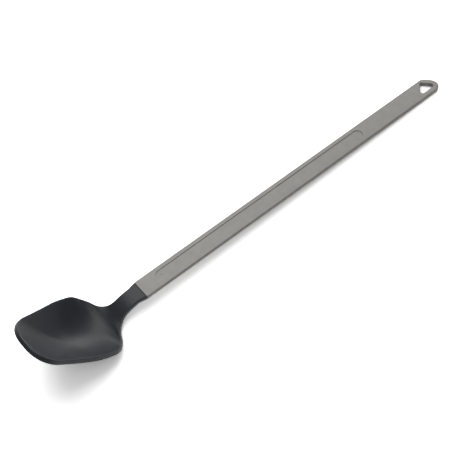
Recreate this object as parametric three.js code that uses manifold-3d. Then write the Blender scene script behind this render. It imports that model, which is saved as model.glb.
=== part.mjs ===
// Long-handled spoon: a flat aluminium handle whose hidden tang carries a moulded nylon spoon head.
// Millimetres, +Z up. +X runs from the bowl to the tip of the handle. The spoon lies at rest on z = 0.
import * as THREE from 'three';
import { mergeVertices } from 'three/addons/utils/BufferGeometryUtils.js';
import Module from 'manifold-3d';

// Handle bar
const handleLength = 200.4;
const handleWidth = 10;
const handleThickness = 2.8;
const edgeBreak = 0.25;

// Tip of the handle: one corner is cut at 45 degrees, the other is a round nose
const tipCut = 5;
const tipCutRadius = 3;
const tipEndRadius = 4.6;
const tipNoseRadius = 3;

// Shallow recess along the top face, with a small dimple near its end
const recessMargin = 2.16;
const recessStart = 9.9;
const recessLength = 136.3;
const recessDepth = 0.3;
const dimpleRadius = 0.6;
const dimpleDepth = 0.15;

// Hanging hole: a rounded triangle that keeps one margin to the side and to the cut corner
const holeMargin = 2.5;
const holeBase = 11.8;
const holeRearAngle = THREE.MathUtils.degToRad(50);
const holeCornerRadius = 1.2;

// Butt joint: the end of the bar leans back, so that the head reaches a little way under it
const jointSlant = 1.5;

// Tang that runs on from the handle inside the neck of the head
const tangLength = 17;
const tangWidth = 6;
const tangThickness = 1.1;
const lockHoleRadius = 1.1;
const lockHoleStart = 5.5;
const lockHolePitch = 6.5;
const fitClearance = 0.2;

// Side view of the head: the neck eases down, then the floor of the bowl sweeps up on one radius
const neckLength = 25.1;
const neckDrop = 7.5;
const neckEase = 1.3;
const heelRadius = 30.3;
const bowlTilt = THREE.MathUtils.degToRad(33.1);
const bowlDepth = 9.5;
const frontLift = 2.3;

// Plan of the head, measured in the plane of the rim from the deepest point of the bowl
const neckTaper = 4.1;
const neckWidth = 8.4;
const neckTaperRadius = 6;
const neckRootBack = 20.2;
const neckRootWidth = 9.1;
const neckRootRadius = 10.6;
const shoulderBack = 14.6;
const shoulderWidth = 37.2;
const shoulderRadius = 10;
const bellyWidth = 35.5;
const bellyRadius = 40;
const frontReach = 32.9;
const frontWidth = 24.4;
const frontRadius = 13.4;

// Wall of the head
const bowlWall = 2.5;
const wallCurve = 1.8;
const edgeLean = THREE.MathUtils.degToRad(20);
const wallBlendEnd = 11;
const topEdgeRadius = 0.7;
const lowerEdgeRadius = 0.4;

// Facets
const outlineSteps = 68;
const acrossSteps = 8;
const edgeSteps = 3;
const tangSteps = 16;
const roundSteps = 20;

const wasm = await Module();
wasm.setup();

function toSolid(geometry) {
  const bare = geometry.clone();
  bare.deleteAttribute('normal');
  bare.deleteAttribute('uv');
  const merged = mergeVertices(bare, 1e-4);
  return new wasm.Manifold(new wasm.Mesh({
    numProp: 3,
    vertProperties: new Float32Array(merged.attributes.position.array),
    triVerts: new Uint32Array(merged.index.array),
  }));
}

function toGeometry(solid) {
  const mesh = solid.getMesh();
  const geometry = new THREE.BufferGeometry();
  geometry.setAttribute('position', new THREE.BufferAttribute(new Float32Array(mesh.vertProperties), 3));
  geometry.setIndex(new THREE.BufferAttribute(new Uint32Array(mesh.triVerts), 1));
  geometry.computeVertexNormals();
  return geometry;
}

// A path through corners [x, y, radius], each rounded by an arc.
// Where two arcs would meet on a side, both shrink.
function roundCorners(path, corners, closed) {
  const count = corners.length;
  const bends = corners.map(([x, y, radius = 0], i) => {
    const corner = new THREE.Vector2(x, y);
    const before = new THREE.Vector2(...corners[(i + count - 1) % count]).sub(corner);
    const after = new THREE.Vector2(...corners[(i + 1) % count]).sub(corner);
    const half = before.angleTo(after) / 2;
    const isEnd = !closed && (i === 0 || i === count - 1);
    return { corner, before, after, half, reach: isEnd ? 0 : radius / Math.tan(half) };
  });
  bends.forEach(({ corner, before, after, half, reach }, i) => {
    const roomBefore = before.length() / (reach + bends[(i + count - 1) % count].reach);
    const roomAfter = after.length() / (reach + bends[(i + 1) % count].reach);
    const used = reach * Math.min(1, roomBefore, roomAfter);
    const start = before.clone().setLength(used).add(corner);
    if (i === 0) path.moveTo(start.x, start.y);
    else path.lineTo(start.x, start.y);
    if (!used) return;
    const fillet = used * Math.tan(half);
    const inward = before.clone().normalize().add(after.clone().normalize());
    const middle = inward.setLength(fillet / Math.sin(half)).add(corner);
    const from = start.sub(middle).angle();
    const to = after.clone().setLength(used).add(corner).sub(middle).angle();
    path.absarc(middle.x, middle.y, fillet, from, to, before.cross(after) > 0);
  });
  if (closed) path.closePath();
  return path;
}

// Neck curve in side view, from the butt joint down to the heel
class NeckCurve extends THREE.Curve {
  getPoint(t, target = new THREE.Vector3()) {
    return target.set(-neckLength * t, 0, -neckDrop * (1 - Math.cos(Math.PI * t ** neckEase)) / 2);
  }
}

const neckCurve = new NeckCurve();
const neckArc = neckCurve.getLength();
const rimRadius = heelRadius - bowlDepth;
const heelReach = rimRadius * Math.tan(bowlTilt);

// Point and upward normal of the head's top centre line at a distance along the neck from the joint
function neckFrame(distance) {
  const u = THREE.MathUtils.clamp(distance / neckArc, 0, 1);
  const point = neckCurve.getPointAt(u);
  const tangent = neckCurve.getTangentAt(u);
  if (distance < 0) point.x -= distance;
  return { point, normal: new THREE.Vector3(tangent.z, 0, -tangent.x) };
}

// The same on the floor of the bowl, at an angle round the heel's sweep
function floorFrame(angle) {
  const normal = new THREE.Vector3(Math.sin(angle), 0, Math.cos(angle));
  const centre = new THREE.Vector3(-neckLength, 0, heelRadius - neckDrop);
  return { point: centre.addScaledVector(normal, -heelRadius), normal };
}

// Frame, wall height, wall thickness and outward lean of the edge for a place along the rim
function station(along) {
  const blend = THREE.MathUtils.smoothstep(along, -neckRootBack, -wallBlendEnd);
  if (along >= 0) {
    const lift = frontLift * (along / frontReach) ** 2;
    return { ...floorFrame(bowlTilt), height: bowlDepth + lift, wall: bowlWall, lean: edgeLean };
  }
  if (along >= -heelReach) {
    const lag = Math.atan(-along / rimRadius);
    const height = (heelRadius - rimRadius / Math.cos(lag)) * blend;
    return { ...floorFrame(bowlTilt - lag), height, wall: bowlWall, lean: edgeLean * blend };
  }
  const distance = neckArc + along + heelReach;
  const height = (heelRadius - rimRadius / Math.cos(bowlTilt)) * blend;
  return { ...neckFrame(distance), height, wall: neckWall(distance), lean: edgeLean * blend };
}

function neckWall(distance) {
  const share = THREE.MathUtils.clamp(distance / neckArc, 0, 1);
  return THREE.MathUtils.lerp(handleThickness, bowlWall, share);
}

// Half of the head's plan, from the butt joint round to the middle of the front edge
function headOutline() {
  const joint = -(neckArc + heelReach) + fitClearance;
  return roundCorners(new THREE.Path(), [
    [joint, handleWidth / 2],
    [joint + neckTaper, neckWidth / 2, neckTaperRadius],
    [-neckRootBack, neckRootWidth / 2, neckRootRadius],
    [-shoulderBack, shoulderWidth / 2, shoulderRadius],
    [0, bellyWidth / 2, bellyRadius],
    [frontReach, frontWidth / 2, frontRadius],
    [frontReach, 0],
  ], false).getSpacedPoints(outlineSteps);
}

// A short rounded edge between two points, drawn towards the sharp corner
function bend(from, corner, to) {
  const [a, b, c] = [from, corner, to].map((p) => new THREE.Vector2(...p));
  return new THREE.QuadraticBezierCurve(a, b, c).getPoints(edgeSteps).map((p) => [p.x, p.y]);
}

// One rib from the centre line to the rim: across the top, round the edge and back underneath
function rib({ x: along, y: halfWidth }) {
  const { point, normal, height, wall, lean } = station(along);
  const forward = new THREE.Vector3(-normal.z, 0, normal.x);
  const reach = Math.max(along, 0);
  const length = Math.hypot(reach, halfWidth);
  const top = (share) => [share * length, height * share ** wallCurve];
  const below = (share, depth = wall) => {
    const [distance, rise] = top(share);
    return [distance + depth * Math.sin(lean * share), rise - depth * Math.cos(lean * share)];
  };
  const inset = (radius) => 1 - radius / length;
  const across = Array.from({ length: acrossSteps }, (_, i) => i / acrossSteps);
  const upper = across.map((share) => top(share * inset(topEdgeRadius)));
  const under = across.map((share) => below(share * inset(lowerEdgeRadius)));
  const topEdge = bend(top(inset(topEdgeRadius)), top(1), below(1, topEdgeRadius));
  const lowEdge = bend(below(1, wall - lowerEdgeRadius), below(1), below(inset(lowerEdgeRadius)));
  return [...upper, ...topEdge, ...lowEdge, ...under.reverse()].map(([distance, rise]) => {
    const share = distance / length;
    return point.clone()
      .addScaledVector(forward, reach * share)
      .addScaledVector(normal, rise)
      .add(new THREE.Vector3(0, halfWidth * share, 0));
  });
}

// Outer skin of the head: ribs on both sides of the centre line, closed at the leaning butt joint
function headShell() {
  const ribs = headOutline().map(rib);
  for (const p of ribs[0]) p.x -= jointSlant * p.z / handleThickness;
  const size = ribs[0].length;
  const positions = [];
  const triangles = [];
  const vertex = (k, i, side) => (2 * (k * size + i)) + side;
  ribs.forEach((points) => points.forEach((p) => positions.push(p.x, p.y, p.z, p.x, -p.y, p.z)));
  const quad = (a, b, c, d, flip) => {
    if (flip) triangles.push(a, c, b, a, d, c);
    else triangles.push(a, b, c, a, c, d);
  };
  for (let side = 0; side < 2; side += 1) {
    for (let k = 0; k + 1 < ribs.length; k += 1) {
      for (let i = 0; i + 1 < size; i += 1) {
        const near = [vertex(k, i, side), vertex(k, i + 1, side)];
        const far = [vertex(k + 1, i + 1, side), vertex(k + 1, i, side)];
        quad(...near, ...far, side);
      }
    }
    for (let i = 0; i < size / 2 - 1; i += 1) {
      const j = size - 1 - i;
      quad(vertex(0, i, side), vertex(0, j, side), vertex(0, j - 1, side), vertex(0, i + 1, side), side);
    }
  }
  const geometry = new THREE.BufferGeometry();
  geometry.setAttribute('position', new THREE.Float32BufferAttribute(positions, 3));
  geometry.setIndex(triangles);
  return dropSlivers(mergeVertices(geometry, 1e-4));
}

// Ribs that share an end point leave triangles with two equal corners, which go
function dropSlivers(geometry) {
  const index = geometry.index.array;
  const kept = [];
  for (let i = 0; i < index.length; i += 3) {
    const [a, b, c] = index.slice(i, i + 3);
    if (a !== b && b !== c && c !== a) kept.push(a, b, c);
  }
  geometry.setIndex(kept);
  return geometry;
}

// A flat strip that follows the middle of the neck, from inside the handle to its end in the head
function tangStrip(width, thickness, end) {
  const start = -recessStart / 2;
  const positions = [];
  const triangles = [];
  for (let k = 0; k <= tangSteps; k += 1) {
    const distance = THREE.MathUtils.lerp(start, end, k / tangSteps);
    const { point, normal } = neckFrame(distance);
    const middle = point.addScaledVector(normal, -neckWall(distance) / 2);
    for (const [side, level] of [[-1, -1], [1, -1], [1, 1], [-1, 1]]) {
      const p = middle.clone().addScaledVector(normal, level * thickness / 2);
      positions.push(p.x, side * width / 2, p.z);
    }
  }
  for (let k = 0; k < tangSteps; k += 1) {
    for (let i = 0; i < 4; i += 1) {
      const a = 4 * k + i;
      const b = 4 * k + ((i + 1) % 4);
      triangles.push(a, b + 4, b, a, a + 4, b + 4);
    }
  }
  const last = 4 * tangSteps;
  triangles.push(0, 1, 2, 0, 2, 3, last, last + 2, last + 1, last, last + 3, last + 2);
  const geometry = new THREE.BufferGeometry();
  geometry.setAttribute('position', new THREE.Float32BufferAttribute(positions, 3));
  geometry.setIndex(triangles);
  return toSolid(geometry);
}

// Round bars square to the neck where the nylon locks through the tang
function lockBars(radius) {
  return [lockHoleStart, lockHoleStart + lockHolePitch].map((distance) => {
    const { point, normal } = neckFrame(distance);
    const middle = point.addScaledVector(normal, -neckWall(distance) / 2);
    const bar = new THREE.CylinderGeometry(radius, radius, 2 * handleThickness, roundSteps);
    bar.rotateX(Math.PI / 2);
    bar.rotateY(Math.atan2(normal.x, normal.z));
    bar.translate(middle.x, 0, middle.z);
    return toSolid(bar);
  });
}

function handleOutline() {
  const half = handleWidth / 2;
  const shape = roundCorners(new THREE.Shape(), [
    [0, -half],
    [handleLength, -half, tipNoseRadius],
    [handleLength, half - tipCut, tipEndRadius],
    [handleLength - tipCut, half, tipCutRadius],
    [0, half],
  ], true);
  const baseline = holeMargin - half;
  const front = handleLength - tipCut + half - holeMargin * Math.SQRT2 - baseline;
  const rise = holeBase / (1 + 1 / Math.tan(holeRearAngle));
  shape.holes.push(roundCorners(new THREE.Path(), [
    [front - holeBase, baseline, holeCornerRadius],
    [front - rise, baseline + rise, holeCornerRadius],
    [front, baseline, holeCornerRadius],
  ], true));
  return shape;
}

// The wedge that is cut away under the handle's end to make the leaning joint
function endWedge() {
  const side = new THREE.Shape();
  side.moveTo(0, 0);
  side.lineTo(-2 * jointSlant, -2 * handleThickness);
  side.lineTo(2 * jointSlant, -2 * handleThickness);
  const wedge = new THREE.ExtrudeGeometry(side, { depth: 2 * handleWidth, bevelEnabled: false });
  wedge.rotateX(Math.PI / 2);
  wedge.translate(0, handleWidth, 0);
  return toSolid(wedge);
}

function buildHandle() {
  const bar = new THREE.ExtrudeGeometry(handleOutline(), {
    depth: handleThickness - 2 * edgeBreak,
    bevelThickness: edgeBreak,
    bevelSize: edgeBreak,
    bevelOffset: -edgeBreak,
    bevelSegments: 2,
    curveSegments: roundSteps / 2,
  });
  bar.translate(0, 0, edgeBreak - handleThickness);
  const radius = handleWidth / 2 - recessMargin;
  const slot = new THREE.Shape();
  slot.absarc(recessStart + radius, 0, radius, Math.PI / 2, 1.5 * Math.PI);
  slot.absarc(recessStart + recessLength - radius, 0, radius, -Math.PI / 2, Math.PI / 2);
  const recess = new THREE.ExtrudeGeometry(slot, {
    depth: handleThickness,
    bevelEnabled: false,
    curveSegments: roundSteps,
  });
  recess.translate(0, 0, -recessDepth);
  const dimple = new THREE.CylinderGeometry(dimpleRadius, dimpleRadius, handleThickness, roundSteps);
  dimple.rotateX(Math.PI / 2);
  dimple.translate(recessStart + radius, 0, handleThickness / 2 - recessDepth - dimpleDepth);
  let tang = tangStrip(tangWidth, tangThickness, tangLength);
  for (const hole of lockBars(lockHoleRadius)) tang = tang.subtract(hole);
  const cuts = [toSolid(recess), toSolid(dimple), endWedge()];
  return toGeometry(wasm.Manifold.difference([toSolid(bar), ...cuts]).add(tang));
}

function buildHead() {
  let socket = tangStrip(
    tangWidth + 2 * fitClearance, tangThickness + 2 * fitClearance, tangLength + fitClearance,
  );
  for (const post of lockBars(lockHoleRadius - fitClearance)) socket = socket.subtract(post);
  return toGeometry(toSolid(headShell()).subtract(socket));
}

function makeMesh(name, geometry, material) {
  const mesh = new THREE.Mesh(geometry, new THREE.MeshStandardMaterial(material));
  mesh.name = name;
  return mesh;
}

const handle = makeMesh('handle', buildHandle(), { color: 0x9b9993, roughness: 0.5, metalness: 0.9 });
const head = makeMesh('spoon_head', buildHead(), { color: 0x2a2c2f, roughness: 0.5, metalness: 0 });

// The spoon rests on its heel and on the lower edge of the tip, so it lies tilted by this angle
function restAngle() {
  const tip = new THREE.Vector3(handleLength - edgeBreak, 0, -handleThickness);
  const places = head.geometry.attributes.position;
  let angle = 0;
  for (let i = 0; i < places.count; i += 1) {
    const fall = Math.atan2(tip.z - places.getZ(i), tip.x - places.getX(i));
    angle = Math.max(angle, fall);
  }
  return angle;
}

const assembly = new THREE.Group();
assembly.add(handle, head);
assembly.rotation.y = restAngle();

const spoon = new THREE.Group();
spoon.add(assembly);
spoon.updateMatrixWorld(true);

// Origin at the bottom centre of the resting spoon
const box = new THREE.Box3().setFromObject(spoon, true);
assembly.position.set(-(box.min.x + box.max.x) / 2, 0, -box.min.z);

export default spoon;
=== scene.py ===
# Long-handled spoon lying on a white floor: an anodised aluminium handle and a moulded nylon head.
import math
import bmesh
import bpy
from mathutils import Matrix, Vector
from mathutils.geometry import delaunay_2d_cdt


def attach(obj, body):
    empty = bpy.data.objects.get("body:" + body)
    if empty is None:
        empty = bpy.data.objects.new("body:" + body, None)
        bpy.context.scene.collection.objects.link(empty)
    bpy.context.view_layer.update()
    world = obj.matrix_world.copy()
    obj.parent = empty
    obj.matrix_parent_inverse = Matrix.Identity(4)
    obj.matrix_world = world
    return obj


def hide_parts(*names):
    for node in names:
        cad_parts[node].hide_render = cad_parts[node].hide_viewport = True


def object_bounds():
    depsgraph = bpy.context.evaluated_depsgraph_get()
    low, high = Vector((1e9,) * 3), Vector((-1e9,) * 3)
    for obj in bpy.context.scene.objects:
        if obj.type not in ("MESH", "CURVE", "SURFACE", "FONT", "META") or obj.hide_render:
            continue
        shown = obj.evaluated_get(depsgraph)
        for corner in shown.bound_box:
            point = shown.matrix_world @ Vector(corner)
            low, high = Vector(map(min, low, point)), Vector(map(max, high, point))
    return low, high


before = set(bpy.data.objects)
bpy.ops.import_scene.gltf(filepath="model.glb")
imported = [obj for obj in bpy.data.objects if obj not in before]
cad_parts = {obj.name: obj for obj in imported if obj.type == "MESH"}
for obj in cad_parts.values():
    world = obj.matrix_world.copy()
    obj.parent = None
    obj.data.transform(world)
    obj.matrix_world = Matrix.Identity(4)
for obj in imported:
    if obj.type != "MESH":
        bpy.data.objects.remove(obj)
CAD_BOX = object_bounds()

MM = 0.001

# Handle in millimetres: x runs from the butt joint to the tip, and z = 0 is the top face
HANDLE_LENGTH = 200.4
HANDLE_WIDTH = 10.0
HANDLE_THICKNESS = 2.8
EDGE_BREAK = 0.25
TIP_CUT = 5.0
TIP_CUT_RADIUS = 3.0
TIP_END_RADIUS = 4.6
TIP_NOSE_RADIUS = 3.0
RECESS_MARGIN = 2.16
RECESS_START = 9.9
RECESS_LENGTH = 136.3
RECESS_DEPTH = 0.3
RECESS_LIP = 0.08

# Dimple in the recess, with the rings of its cup as shares of its radius from the rim inwards
DIMPLE_RADIUS = 0.6
DIMPLE_DEPTH = 0.15
DIMPLE_RINGS = (0, 0.2, 0.4, 0.6, 0.8)

# Hanging hole at the tip
HOLE_MARGIN = 2.5
HOLE_BASE = 11.8
HOLE_REAR_ANGLE = math.radians(50)
HOLE_CORNER_RADIUS = 1.2

# Joint with the head: the slanted butt face, and a tang with its corners as (side, level)
JOINT_SLANT = 1.5
TANG_LENGTH = 17.0
TANG_WIDTH = 6.0
TANG_THICKNESS = 1.1
TANG_CORNERS = ((-1, -1), (1, -1), (1, 1), (-1, 1))
FIT_CLEARANCE = 0.2

# Side view of the head, which is drawn a little fuller than the CAD solid at its front and sides
NECK_LENGTH = 25.1
NECK_DROP = 7.5
NECK_EASE = 1.3
HEEL_RADIUS = 30.3
BOWL_TILT = math.radians(33.1)
BOWL_DEPTH = 9.5
FRONT_LIFT = 2.7

# Plan of the head in the plane of the rim, from the deepest point of the bowl
NECK_TAPER = 4.1
NECK_WIDTH = 8.4
NECK_TAPER_RADIUS = 6.0
NECK_ROOT_BACK = 20.5
NECK_ROOT_WIDTH = 9.1
NECK_ROOT_RADIUS = 9.5
SHOULDER_BACK = 15.5
SHOULDER_WIDTH = 37.1
SHOULDER_RADIUS = 11.0
BELLY_WIDTH = 37.0
BELLY_RADIUS = 40.0
FRONT_REACH = 33.8
FRONT_WIDTH = 24.3
FRONT_RADIUS = 12.7

# Wall of the head, which rises from the neck between the two blend distances
BOWL_WALL = 2.5
WALL_CURVE = 1.8
WALL_BLEND_START = 23.0
WALL_BLEND_END = 10.0
EDGE_LEAN = math.radians(20)
TOP_EDGE_RADIUS = 0.7
LOWER_EDGE_RADIUS = 0.4

# Mesh fineness
ARC_STEP = math.radians(6)
OUTLINE_STEP = 0.6
ACROSS_STEPS = 26
EDGE_STEPS = 6
BREAK_STEPS = 4
ROUND_STEPS = 48
NECK_STEPS = 400
TANG_STEPS = 24
WELD_DISTANCE = 1e-4
FILL_TOLERANCE = 1e-6
SHARP_ANGLE = math.radians(40)

# Materials: cloudy shades and a fine grain, with noise scales per metre and bump depth in metres
ALUMINIUM = {
    "metallic": 0.7,
    "shades": ((0.228, 0.223, 0.208), (0.252, 0.247, 0.231)),
    "roughness": (0.44, 0.54),
    "cloud_scale": 260,
    "grain_scale": 3200,
    "bump_strength": 0.12,
    "bump_depth": 0.00005,
}
NYLON = {
    "metallic": 0.0,
    "shades": ((0.0085, 0.0105, 0.0150), (0.0105, 0.0125, 0.0175)),
    "roughness": (0.37, 0.44),
    "cloud_scale": 180,
    "grain_scale": 4200,
    "bump_strength": 0.10,
    "bump_depth": 0.00004,
}
CLOUD_DETAIL = 3
GRAIN_DETAIL = 2
NOISE_LOW = 0.3
NOISE_HIGH = 0.7

# Camera at the photograph's angle
CAMERA_PLACE = Vector((-204.44, -227.02, 522.03)) * MM
CAMERA_TARGET = Vector((-14.25, -2.63, 9.19)) * MM
CAMERA_FIELD = math.radians(21.718)
CAMERA_SENSOR = 36

# Floor: its size in metres, its grey for scattered light, and its white for the other kinds of ray
FLOOR_SIZE = 6
FLOOR_GREY = 0.85
FLOOR_LEVELS = (
    ("Is Camera Ray", 2.1),
    ("Is Glossy Ray", 1.2),
    ("Is Transmission Ray", 1.2),
)

# Light: a weak surround, and softboxes as (name, azimuth, elevation, width, height, watts)
AMBIENT = 0.26
LAMP_DISTANCE = 1.3
SOFTBOXES = (
    ("key_softbox", 80, 70, 1.0, 1.0, 6.9),
    ("back_panel", 45, 30, 1.4, 0.6, 6.3),
    ("low_sweep", 30, 8, 1.3, 0.35, 3.5),
    ("fill_softbox", 202, 58, 0.9, 0.9, 2.0),
)


# Rises from 0 at low to 1 at high, with a soft start and end
def smoothstep(value, low, high):
    t = min(max((value - low) / (high - low), 0.0), 1.0)
    return t * t * (3 - 2 * t)


def mix(a, b, t):
    return a + (b - a) * t


# Points along a line through corners (x, y, radius), with each corner rounded by an arc
def round_corners(corners, closed):
    points = []
    count = len(corners)
    for i, (x, y, radius) in enumerate(corners):
        corner = Vector((x, y))
        if radius == 0 or (not closed and i in (0, count - 1)):
            points.append(corner)
            continue
        before = (Vector(corners[i - 1][:2]) - corner).normalized()
        after = (Vector(corners[(i + 1) % count][:2]) - corner).normalized()
        half = before.angle(after) / 2
        middle = corner + (before + after).normalized() * (radius / math.sin(half))
        start = corner + before * (radius / math.tan(half)) - middle
        turn = math.pi - 2 * half
        if before.x * after.y - before.y * after.x > 0:
            turn = -turn
        steps = max(2, math.ceil(abs(turn) / ARC_STEP))
        for k in range(steps + 1):
            angle = turn * k / steps
            spin = Matrix.Rotation(angle, 2)
            points.append(middle + spin @ start)
    return points


# The same line with points at an even spacing
def even_spacing(points, step):
    lengths = [0.0]
    for a, b in zip(points, points[1:]):
        lengths.append(lengths[-1] + (b - a).length)
    count = round(lengths[-1] / step)
    result = []
    k = 0
    for i in range(count + 1):
        goal = lengths[-1] * i / count
        while k + 2 < len(points) and lengths[k + 1] < goal:
            k += 1
        share = (goal - lengths[k]) / (lengths[k + 1] - lengths[k])
        result.append(points[k].lerp(points[k + 1], share))
    return result


# Line along the top of the neck in equal steps of its easing curve: length run so far, point and normal
def neck_table():
    table = []
    run = 0.0
    last = None
    for i in range(NECK_STEPS + 1):
        t = i / NECK_STEPS
        turn = math.pi * t ** NECK_EASE
        point = Vector((-NECK_LENGTH * t, 0, -NECK_DROP * (1 - math.cos(turn)) / 2))
        run += (point - last).length if last else 0.0
        pace = math.pi * NECK_EASE * t ** (NECK_EASE - 1)
        slope = NECK_DROP * pace * math.sin(turn) / 2 / NECK_LENGTH
        table.append((run, point, Vector((-slope, 0, 1)).normalized()))
        last = point
    return table


NECK = neck_table()
NECK_ARC = NECK[-1][0]
RIM_RADIUS = HEEL_RADIUS - BOWL_DEPTH
HEEL_REACH = RIM_RADIUS * math.tan(BOWL_TILT)


# Point and upward normal on the top of the neck at a distance from the joint, level behind the joint
def neck_frame(distance):
    if distance <= 0:
        return Vector((-distance, 0, 0)), Vector((0, 0, 1))
    k = next(i for i, row in enumerate(NECK) if row[0] >= distance or i == len(NECK) - 1)
    low, high = NECK[max(k - 1, 0)], NECK[k]
    share = (distance - low[0]) / (high[0] - low[0])
    return low[1].lerp(high[1], share), low[2].lerp(high[2], share).normalized()


def neck_wall(distance):
    return mix(HANDLE_THICKNESS, BOWL_WALL, min(max(distance / NECK_ARC, 0.0), 1.0))


# Point and normal on the round floor of the bowl, at an angle from its lowest line
def floor_frame(angle):
    normal = Vector((math.sin(angle), 0, math.cos(angle)))
    centre = Vector((-NECK_LENGTH, 0, HEEL_RADIUS - NECK_DROP))
    return centre - normal * HEEL_RADIUS, normal


# Point, normal, wall height, wall thickness and edge lean for a place along the rim
def station(along):
    blend = smoothstep(along, -WALL_BLEND_START, -WALL_BLEND_END)
    if along >= 0:
        lift = FRONT_LIFT * (along / FRONT_REACH) ** 2
        return *floor_frame(BOWL_TILT), BOWL_DEPTH + lift, BOWL_WALL, EDGE_LEAN
    if along >= -HEEL_REACH:
        lag = math.atan(-along / RIM_RADIUS)
        height = (HEEL_RADIUS - RIM_RADIUS / math.cos(lag)) * blend
        return *floor_frame(BOWL_TILT - lag), height, BOWL_WALL, EDGE_LEAN * blend
    distance = NECK_ARC + along + HEEL_REACH
    height = (HEEL_RADIUS - RIM_RADIUS / math.cos(BOWL_TILT)) * blend
    return *neck_frame(distance), height, neck_wall(distance), EDGE_LEAN * blend


# A rounded edge from one point to another, drawn towards the sharp corner between them
def bend(start, corner, end):
    points = []
    for k in range(EDGE_STEPS + 1):
        t = k / EDGE_STEPS
        points.append(tuple((1 - t) ** 2 * a + 2 * t * (1 - t) * b + t * t * c
                            for a, b, c in zip(start, corner, end)))
    return points


# One rib of the head: across the top to the rim, round the edge and back underneath
def rib(along, half_width):
    point, normal, height, wall, lean = station(along)
    forward = Vector((-normal.z, 0, normal.x))
    reach = max(along, 0.0)
    length = math.hypot(reach, half_width)

    def top(share):
        return share * length, height * share ** WALL_CURVE

    def below(share, depth=wall):
        distance, rise = top(share)
        return distance + depth * math.sin(lean * share), rise - depth * math.cos(lean * share)

    top_inset = 1 - TOP_EDGE_RADIUS / length
    low_inset = 1 - LOWER_EDGE_RADIUS / length
    upper = [top(top_inset * i / ACROSS_STEPS) for i in range(ACROSS_STEPS)]
    under = [below(low_inset * i / ACROSS_STEPS) for i in range(ACROSS_STEPS)]
    top_edge = bend(top(top_inset), top(1), below(1, TOP_EDGE_RADIUS))
    low_edge = bend(below(1, wall - LOWER_EDGE_RADIUS), below(1), below(low_inset))
    profile = upper + top_edge + low_edge + under[::-1]
    return [point + forward * (reach * d / length) + normal * h + Vector((0, half_width * d / length, 0))
            for d, h in profile]


# Half of the head's plan, from the butt joint to the middle of the front, as evenly spaced points
def head_outline():
    joint = -(NECK_ARC + HEEL_REACH) + FIT_CLEARANCE
    line = round_corners([
        (joint, HANDLE_WIDTH / 2, 0),
        (joint + NECK_TAPER, NECK_WIDTH / 2, NECK_TAPER_RADIUS),
        (-NECK_ROOT_BACK, NECK_ROOT_WIDTH / 2, NECK_ROOT_RADIUS),
        (-SHOULDER_BACK, SHOULDER_WIDTH / 2, SHOULDER_RADIUS),
        (0, BELLY_WIDTH / 2, BELLY_RADIUS),
        (FRONT_REACH, FRONT_WIDTH / 2, FRONT_RADIUS),
        (FRONT_REACH, 0, 0),
    ], False)
    return even_spacing(line, OUTLINE_STEP)


# Head as a closed shell: mirrored ribs, closed at the butt joint, whose end leans as the bar's does
def head_mesh():
    ribs = [rib(p.x, p.y) for p in head_outline()]
    for p in ribs[0]:
        p.x -= JOINT_SLANT * p.z / HANDLE_THICKNESS
    size = len(ribs[0])
    mesh = bmesh.new()
    sides = []
    for sign in (1, -1):
        sides.append([[mesh.verts.new((p.x, sign * p.y, p.z)) for p in points] for points in ribs])
    for sign, grid in zip((1, -1), sides):
        for k in range(len(ribs) - 1):
            for i in range(size - 1):
                quad = [grid[k][i], grid[k][i + 1], grid[k + 1][i + 1], grid[k + 1][i]]
                mesh.faces.new(quad[::sign])
        for i in range(size // 2 - 1):
            j = size - 1 - i
            quad = [grid[0][i], grid[0][j], grid[0][j - 1], grid[0][i + 1]]
            mesh.faces.new(quad[::sign])
    bmesh.ops.remove_doubles(mesh, verts=mesh.verts, dist=WELD_DISTANCE)
    return mesh


# A closed line moved sideways by an offset, positive to the left of its direction
def offset_line(points, offset):
    moved = []
    for i, p in enumerate(points):
        a = (p - points[i - 1]).normalized()
        b = (points[(i + 1) % len(points)] - p).normalized()
        normals = Vector((-a.y, a.x)) + Vector((-b.y, b.x))
        moved.append(p + normals * (2 * offset / normals.length_squared))
    return moved


# Closed lines of the handle seen from above: its outline, the hole, the recess and the dimple
def handle_lines():
    half = HANDLE_WIDTH / 2
    outline = round_corners([
        (0, -half, 0),
        (HANDLE_LENGTH, -half, TIP_NOSE_RADIUS),
        (HANDLE_LENGTH, half - TIP_CUT, TIP_END_RADIUS),
        (HANDLE_LENGTH - TIP_CUT, half, TIP_CUT_RADIUS),
        (0, half, 0),
    ], True)
    base = HOLE_MARGIN - half
    front = HANDLE_LENGTH - TIP_CUT + half - HOLE_MARGIN * math.sqrt(2) - base
    rise = HOLE_BASE / (1 + 1 / math.tan(HOLE_REAR_ANGLE))
    hole = round_corners([
        (front - HOLE_BASE, base, HOLE_CORNER_RADIUS),
        (front - rise, base + rise, HOLE_CORNER_RADIUS),
        (front, base, HOLE_CORNER_RADIUS),
    ], True)
    radius = half - RECESS_MARGIN
    recess = []
    for centre, start in ((RECESS_START + RECESS_LENGTH - radius, -90), (RECESS_START + radius, 90)):
        for k in range(ROUND_STEPS // 2 + 1):
            angle = math.radians(start + 180 * k / (ROUND_STEPS // 2))
            recess.append(Vector((centre + radius * math.cos(angle), radius * math.sin(angle))))
    dimple = []
    for k in range(ROUND_STEPS):
        angle = 2 * math.pi * k / ROUND_STEPS
        dimple.append(Vector((RECESS_START + radius + DIMPLE_RADIUS * math.cos(angle),
                              DIMPLE_RADIUS * math.sin(angle))))
    return outline, hole, recess, dimple


# Faces between rings that follow a line at given offsets and heights; returns the first and last ring
def ring_strip(mesh, line, profile):
    rings = []
    for offset, height in profile:
        rings.append([mesh.verts.new((p.x, p.y, height)) for p in offset_line(line, offset)])
    for a, b in zip(rings, rings[1:]):
        for i in range(len(line)):
            mesh.faces.new((a[i - 1], a[i], b[i], b[i - 1]))
    return rings[0], rings[-1]


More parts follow.
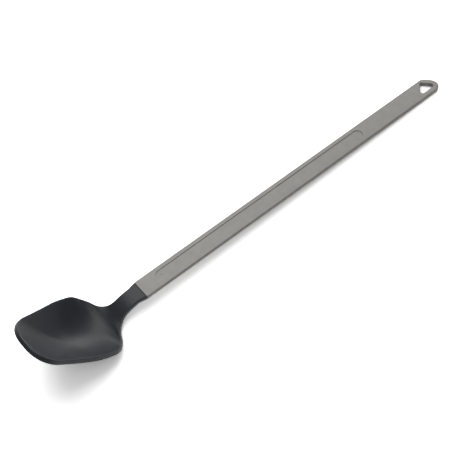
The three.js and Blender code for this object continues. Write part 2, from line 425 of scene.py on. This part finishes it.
# True where a point lies inside a closed ring
def is_inside(point, ring):
    inside = False
    for a, b in zip(ring, ring[-1:] + ring[:-1]):
        if (a.y > point.y) != (b.y > point.y):
            crossing = a.x + (b.x - a.x) * (point.y - a.y) / (b.y - a.y)
            inside = inside != (crossing > point.x)
    return inside


# A flat face bounded by rings: the first is its outline and the others are holes in it
def fill_rings(mesh, rings):
    verts = [v for ring in rings for v in ring]
    lines = [[Vector((v.co.x, v.co.y)) for v in ring] for ring in rings]
    edges = []
    for line in lines:
        start = len(edges)
        edges += [(start + i, start + (i + 1) % len(line)) for i in range(len(line))]
    flat = [p for line in lines for p in line]
    for face in delaunay_2d_cdt(flat, edges, [], 0, FILL_TOLERANCE)[2]:
        centre = sum((flat[i] for i in face), Vector((0, 0))) / len(face)
        if [is_inside(centre, line) for line in lines] == [True] + [False] * (len(lines) - 1):
            mesh.faces.new([verts[i] for i in face])


# Quarter-round edge as (offset, height) steps between a flat face and a wall
def edge_round(radius, height, sign):
    profile = []
    for k in range(BREAK_STEPS + 1):
        angle = math.pi / 2 * k / BREAK_STEPS
        drop = radius * (1 - math.cos(angle))
        profile.append((radius * (1 - math.sin(angle)), height - sign * drop))
    return profile


# Handle as a closed shell: the bar with its slanted end, hole, recess and dimple, and the tang
def handle_mesh():
    outline, hole, recess, dimple = handle_lines()
    mesh = bmesh.new()
    wall = edge_round(EDGE_BREAK, 0, 1) + edge_round(EDGE_BREAK, -HANDLE_THICKNESS, -1)[::-1]
    top_rim, low_rim = ring_strip(mesh, outline, wall)
    for v in mesh.verts:
        if v.co.x < 2 * EDGE_BREAK:
            v.co.x -= JOINT_SLANT * v.co.z / HANDLE_THICKNESS
    top_hole, low_hole = ring_strip(mesh, hole, wall)
    lip = [
        (-RECESS_LIP, 0),
        (0, -RECESS_LIP),
        (0, RECESS_LIP - RECESS_DEPTH),
        (RECESS_LIP, -RECESS_DEPTH),
    ]
    recess_top, recess_floor = ring_strip(mesh, recess, lip)
    cup = [(DIMPLE_RADIUS * across, -RECESS_DEPTH - DIMPLE_DEPTH * smoothstep(across, 0, 1))
           for across in DIMPLE_RINGS]
    dimple_rim, dimple_floor = ring_strip(mesh, dimple, cup)
    fill_rings(mesh, [top_rim, top_hole, recess_top])
    fill_rings(mesh, [low_rim, low_hole])
    fill_rings(mesh, [recess_floor, dimple_rim])
    fill_rings(mesh, [dimple_floor])
    tang_strip(mesh)
    return mesh


# Hidden tang that grows out of the butt face and follows the middle of the neck inside the head
def tang_strip(mesh):
    ends = [face for face in mesh.faces if all(v.co.x < 2 * JOINT_SLANT for v in face.verts)]
    # The butt face is the largest one at this end
    butt = max(ends, key=lambda face: face.calc_area())
    corners = {(v.co.y > 0, v.co.z > -HANDLE_THICKNESS / 2): v for v in butt.verts}
    rows = [[corners[side > 0, level > 0] for side, level in TANG_CORNERS]]
    mesh.faces.remove(butt)
    for k in range(TANG_STEPS + 1):
        distance = TANG_LENGTH * k / TANG_STEPS
        point, normal = neck_frame(distance)
        middle = point - normal * neck_wall(distance) / 2
        row = []
        for side, level in TANG_CORNERS:
            p = middle + normal * (level * TANG_THICKNESS / 2)
            if k == 0:
                p.x = -JOINT_SLANT * p.z / HANDLE_THICKNESS
            row.append(mesh.verts.new((p.x, side * TANG_WIDTH / 2, p.z)))
        rows.append(row)
    for a, b in zip(rows, rows[1:]):
        for i in range(len(TANG_CORNERS)):
            mesh.faces.new((a[i - 1], a[i], b[i], b[i - 1]))
    mesh.faces.new(rows[-1])


# The spoon rests on its heel and on the lower edge of the tip, and the tip lies at the end of the CAD box
def rest_matrix(head, handle):
    tip = Vector((HANDLE_LENGTH - EDGE_BREAK, 0, -HANDLE_THICKNESS))
    angle = max(math.atan2(tip.z - v.co.z, tip.x - v.co.x) for v in head.verts)
    turn = Matrix.Rotation(angle, 4, "Y")
    places = [turn @ v.co for mesh in (head, handle) for v in mesh.verts]
    end = max(p.x for p in places) - CAD_BOX[1][0] / MM
    floor = min(p.z for p in places)
    return Matrix.Scale(MM, 4) @ Matrix.Translation((-end, 0, -floor)) @ turn


# A piece of the spoon from its mesh: placed, shaded, riding on the body and standing for a CAD node
def add_piece(name, mesh, matrix, node, material):
    bmesh.ops.recalc_face_normals(mesh, faces=mesh.faces)
    bmesh.ops.transform(mesh, matrix=matrix, verts=mesh.verts)
    data = bpy.data.meshes.new(name)
    mesh.to_mesh(data)
    mesh.free()
    data.shade_smooth()
    data.set_sharp_from_angle(angle=SHARP_ANGLE)
    data.materials.append(material)
    piece = bpy.data.objects.new(name, data)
    bpy.context.scene.collection.objects.link(piece)
    weighted = piece.modifiers.new("flat faces stay flat", "WEIGHTED_NORMAL")
    weighted.keep_sharp = True
    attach(piece, "root")
    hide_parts(node)


# A new material with its nodes, its links and its shader
def new_material(name):
    material = bpy.data.materials.new(name)
    material.use_nodes = True
    nodes = material.node_tree.nodes
    return material, nodes, material.node_tree.links, nodes["Principled BSDF"]


# Noise that stays with the piece
def noise(nodes, links, scale, detail):
    place = nodes.new("ShaderNodeTexCoord")
    texture = nodes.new("ShaderNodeTexNoise")
    texture.inputs["Scale"].default_value = scale
    texture.inputs["Detail"].default_value = detail
    links.new(place.outputs["Object"], texture.inputs["Vector"])
    return texture


# A noise spread between two values
def vary(nodes, links, source, low, high, target):
    spread = nodes.new("ShaderNodeMapRange")
    spread.inputs["From Min"].default_value = NOISE_LOW
    spread.inputs["From Max"].default_value = NOISE_HIGH
    spread.inputs["To Min"].default_value = low
    spread.inputs["To Max"].default_value = high
    links.new(source.outputs["Fac"], spread.inputs["Value"])
    links.new(spread.outputs["Result"], target)


# A noise spread between two colours
def tint(nodes, links, source, dark, light, target):
    ramp = nodes.new("ShaderNodeValToRGB")
    ramp.color_ramp.elements[0].position = NOISE_LOW
    ramp.color_ramp.elements[0].color = (*dark, 1)
    ramp.color_ramp.elements[1].position = NOISE_HIGH
    ramp.color_ramp.elements[1].color = (*light, 1)
    links.new(source.outputs["Fac"], ramp.inputs["Fac"])
    links.new(ramp.outputs["Color"], target)


# A noise as bump on a shader
def grain(nodes, links, source, strength, depth, shader):
    bump = nodes.new("ShaderNodeBump")
    bump.inputs["Strength"].default_value = strength
    bump.inputs["Distance"].default_value = depth
    links.new(source.outputs["Fac"], bump.inputs["Height"])
    links.new(bump.outputs["Normal"], shader.inputs["Normal"])


# Clouded and grained material from one of the looks at the top
def grained_material(name, look):
    material, nodes, links, shader = new_material(name)
    shader.inputs["Metallic"].default_value = look["metallic"]
    cloud = noise(nodes, links, look["cloud_scale"], CLOUD_DETAIL)
    fine = noise(nodes, links, look["grain_scale"], GRAIN_DETAIL)
    tint(nodes, links, cloud, *look["shades"], shader.inputs["Base Color"])
    vary(nodes, links, fine, *look["roughness"], shader.inputs["Roughness"])
    grain(nodes, links, fine, look["bump_strength"], look["bump_depth"], shader)
    return material


# Floor that is past white when seen, plain white in reflections and pale grey in the light it scatters
def floor_material():
    material, nodes, links, grey = new_material("white_floor")
    grey.inputs["Base Color"].default_value = (FLOOR_GREY, FLOOR_GREY, FLOOR_GREY, 1)
    grey.inputs["Roughness"].default_value = 1.0
    grey.inputs["Specular IOR Level"].default_value = 0.0
    rays = nodes.new("ShaderNodeLightPath")
    surface = grey.outputs["BSDF"]
    for kind, white in FLOOR_LEVELS:
        seen = nodes.new("ShaderNodeBsdfDiffuse")
        seen.inputs["Color"].default_value = (white, white, white, 1)
        choose = nodes.new("ShaderNodeMixShader")
        links.new(rays.outputs[kind], choose.inputs["Fac"])
        links.new(surface, choose.inputs[1])
        links.new(seen.outputs["BSDF"], choose.inputs[2])
        surface = choose.outputs["Shader"]
    links.new(surface, nodes["Material Output"].inputs["Surface"])
    return material


def add_floor():
    bpy.ops.mesh.primitive_plane_add(size=FLOOR_SIZE)
    floor = bpy.context.object
    floor.name = "floor"
    floor.data.materials.append(floor_material())


# World: the even light that comes from the rest of the room
def set_world():
    world = bpy.data.worlds.new("studio")
    world.use_nodes = True
    surround = world.node_tree.nodes["Background"]
    surround.inputs["Color"].default_value = (1, 1, 1, 1)
    surround.inputs["Strength"].default_value = AMBIENT
    bpy.context.scene.world = world


# Area lamp at a direction from the spoon, turned towards it
def add_softbox(name, azimuth, elevation, width, height, power):
    turn = math.radians(azimuth)
    rise = math.radians(elevation)
    flat = math.cos(rise)
    place = LAMP_DISTANCE * Vector((flat * math.cos(turn), flat * math.sin(turn), math.sin(rise)))
    light = bpy.data.lights.new(name, "AREA")
    light.shape = "RECTANGLE"
    light.size = width
    light.size_y = height
    light.energy = power
    lamp = bpy.data.objects.new(name, light)
    lamp.location = place
    lamp.rotation_euler = (-place).to_track_quat("-Z", "Y").to_euler()
    bpy.context.scene.collection.objects.link(lamp)


def add_camera():
    data = bpy.data.cameras.new("camera")
    data.sensor_width = CAMERA_SENSOR
    data.lens_unit = "FOV"
    data.angle = CAMERA_FIELD
    camera = bpy.data.objects.new("camera", data)
    camera.location = CAMERA_PLACE
    camera.rotation_euler = (CAMERA_TARGET - CAMERA_PLACE).to_track_quat("-Z", "Y").to_euler()
    bpy.context.scene.collection.objects.link(camera)
    bpy.context.scene.camera = camera


def main():
    head = head_mesh()
    handle = handle_mesh()
    place = rest_matrix(head, handle)
    head_finish = grained_material("charcoal_nylon", NYLON)
    bar_finish = grained_material("anodised_aluminium", ALUMINIUM)
    add_piece("head_shell", head, place, "spoon_head", head_finish)
    add_piece("handle_bar", handle, place, "handle", bar_finish)
    add_floor()
    set_world()
    for softbox in SOFTBOXES:
        add_softbox(*softbox)
    add_camera()
    bpy.context.scene.view_settings.view_transform = "Standard"


main()
